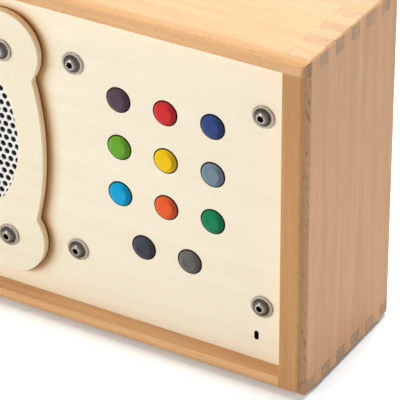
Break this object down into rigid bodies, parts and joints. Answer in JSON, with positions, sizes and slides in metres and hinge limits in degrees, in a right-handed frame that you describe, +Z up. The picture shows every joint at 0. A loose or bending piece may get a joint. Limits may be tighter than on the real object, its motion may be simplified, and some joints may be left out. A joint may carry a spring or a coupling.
{
  "type": "audio story player",
  "caption": "Finger-jointed wooden audio player for children with a loudspeaker behind a perforated grille, coloured press buttons and a turned volume knob.",
  "frame": {"origin": "on the floor under the middle of the case, at the underside of the feet", "axes": "+X to the right of someone facing the buttons, +Y from the front to the rear, +Z up"},
  "size_m": [0.324, 0.094, 0.2086],
  "materials": {
    "case_board_long": "oiled beech, long grain",
    "case_board_side": "oiled beech, upright grain",
    "birch_plate": "clear-coated birch plywood",
    "birch_cover": "clear-coated birch plywood",
    "batten_wood": "raw beech",
    "knob_wood": "turned beech",
    "grille_metal": "light satin coat",
    "grille_cloth": "thin black cloth",
    "stainless": "stainless, satin",
    "foot_rubber": "soft black rubber",
    "gasket_foam": "closed-cell foam",
    "basket_sheet": "black coated sheet steel",
    "surround_rubber": "soft rubber roll",
    "spider_cloth": "varnished cloth",
    "cone_paper": "pressed black paper",
    "coil_copper": "enamelled copper wire",
    "pole_steel": "zinc-plated",
    "ferrite": "dull ferrite",
    "contact_metal": "tinned brass",
    "board_laminate": "green solder mask",
    "switch_plastic": "black moulded",
    "chip_plastic": "black moulded",
    "capacitor_can": "sleeved can",
    "socket_plastic": "off-white moulded",
    "socket_sheet": "pressed sheet",
    "card_plastic": "moulded",
    "light_lens": "clear epoxy",
    "holder_plastic": "black moulded",
    "cell_jacket": "plain sleeve",
    "control_metal": "pressed",
    "button_aubergine": "moulded, fine matt",
    "button_red": "moulded, fine matt",
    "button_dark_blue": "moulded, fine matt",
    "button_bright_green": "moulded, fine matt",
    "button_yellow": "moulded, fine matt",
    "button_grey_blue": "moulded, fine matt",
    "button_light_blue": "moulded, fine matt",
    "button_orange": "moulded, fine matt",
    "button_dark_green": "moulded, fine matt",
    "button_charcoal": "moulded, fine matt",
    "button_dark_grey": "moulded, fine matt"
  },
  "bodies": {
    "case": {"case_top": "case_board_long", "case_bottom": "case_board_long", "case_left": "case_board_side", "case_right": "case_board_side", "front_plate": "birch_plate", "rear_plate": "birch_plate", "rear_battens": "batten_wood", "speaker_cover": "birch_cover", "speaker_grille": "grille_metal", "grille_cloth": "grille_cloth", "cover_screws": "stainless", "cover_washers": "stainless", "cover_nuts": "stainless", "plate_screws": "stainless", "plate_washers": "stainless", "board_spacers": "stainless", "board_nuts": "stainless", "rear_screws": "stainless", "feet": "foot_rubber", "speaker_gasket": "gasket_foam", "speaker_basket": "basket_sheet", "speaker_surround": "surround_rubber", "speaker_spider": "spider_cloth", "speaker_top_plate": "pole_steel", "speaker_magnet": "ferrite", "speaker_yoke": "pole_steel", "speaker_terminals": "contact_metal", "main_board": "board_laminate", "switch_housings": "switch_plastic", "processor_chip": "chip_plastic", "amplifier_chip": "chip_plastic", "capacitors": "capacitor_can", "lead_sockets": "socket_plastic", "card_socket": "socket_sheet", "memory_card": "card_plastic", "status_light": "light_lens", "battery_holder": "holder_plastic", "battery_cells": "cell_jacket", "battery_contacts": "contact_metal", "volume_control": "control_metal", "volume_washer": "stainless", "volume_nut": "stainless"},
    "cone": {"speaker_cone": "cone_paper", "dust_cap": "cone_paper", "voice_coil": "coil_copper"},
    "volume": {"volume_knob": "knob_wood", "volume_shaft": "stainless"},
    "key_aubergine": {"button_aubergine": "button_aubergine"},
    "key_red": {"button_red": "button_red"},
    "key_dark_blue": {"button_dark_blue": "button_dark_blue"},
    "key_bright_green": {"button_bright_green": "button_bright_green"},
    "key_yellow": {"button_yellow": "button_yellow"},
    "key_grey_blue": {"button_grey_blue": "button_grey_blue"},
    "key_light_blue": {"button_light_blue": "button_light_blue"},
    "key_orange": {"button_orange": "button_orange"},
    "key_dark_green": {"button_dark_green": "button_dark_green"},
    "key_charcoal": {"button_charcoal": "button_charcoal"},
    "key_dark_grey": {"button_dark_grey": "button_dark_grey"}
  },
  "joints": [
    {"name": "button_aubergine_press", "type": "slide", "parent": "case", "child": "key_aubergine", "axis": [0, 1, 0], "range_m": [0, 0.001], "stiffness_N_per_m": 1500, "springref_m": -0.0005},
    {"name": "button_red_press", "type": "slide", "parent": "case", "child": "key_red", "axis": [0, 1, 0], "range_m": [0, 0.001], "stiffness_N_per_m": 1500, "springref_m": -0.0005},
    {"name": "button_dark_blue_press", "type": "slide", "parent": "case", "child": "key_dark_blue", "axis": [0, 1, 0], "range_m": [0, 0.001], "stiffness_N_per_m": 1500, "springref_m": -0.0005},
    {"name": "button_bright_green_press", "type": "slide", "parent": "case", "child": "key_bright_green", "axis": [0, 1, 0], "range_m": [0, 0.001], "stiffness_N_per_m": 1500, "springref_m": -0.0005},
    {"name": "button_yellow_press", "type": "slide", "parent": "case", "child": "key_yellow", "axis": [0, 1, 0], "range_m": [0, 0.001], "stiffness_N_per_m": 1500, "springref_m": -0.0005},
    {"name": "button_grey_blue_press", "type": "slide", "parent": "case", "child": "key_grey_blue", "axis": [0, 1, 0], "range_m": [0, 0.001], "stiffness_N_per_m": 1500, "springref_m": -0.0005},
    {"name": "button_light_blue_press", "type": "slide", "parent": "case", "child": "key_light_blue", "axis": [0, 1, 0], "range_m": [0, 0.001], "stiffness_N_per_m": 1500, "springref_m": -0.0005},
    {"name": "button_orange_press", "type": "slide", "parent": "case", "child": "key_orange", "axis": [0, 1, 0], "range_m": [0, 0.001], "stiffness_N_per_m": 1500, "springref_m": -0.0005},
    {"name": "button_dark_green_press", "type": "slide", "parent": "case", "child": "key_dark_green", "axis": [0, 1, 0], "range_m": [0, 0.001], "stiffness_N_per_m": 1500, "springref_m": -0.0005},
    {"name": "button_charcoal_press", "type": "slide", "parent": "case", "child": "key_charcoal", "axis": [0, 1, 0], "range_m": [0, 0.001], "stiffness_N_per_m": 1500, "springref_m": -0.0005},
    {"name": "button_dark_grey_press", "type": "slide", "parent": "case", "child": "key_dark_grey", "axis": [0, 1, 0], "range_m": [0, 0.001], "stiffness_N_per_m": 1500, "springref_m": -0.0005},
    {"name": "cone_stroke", "type": "slide", "parent": "case", "child": "cone", "axis": [0, -1, 0], "range_m": [-0.001, 0.001], "stiffness_N_per_m": 3000},
    {"name": "volume_turn", "type": "hinge", "parent": "case", "child": "volume", "pos_m": [-0.112, 0, 0.199], "axis": [0, 0, -1], "range_deg": [0, 300]}
  ]
}
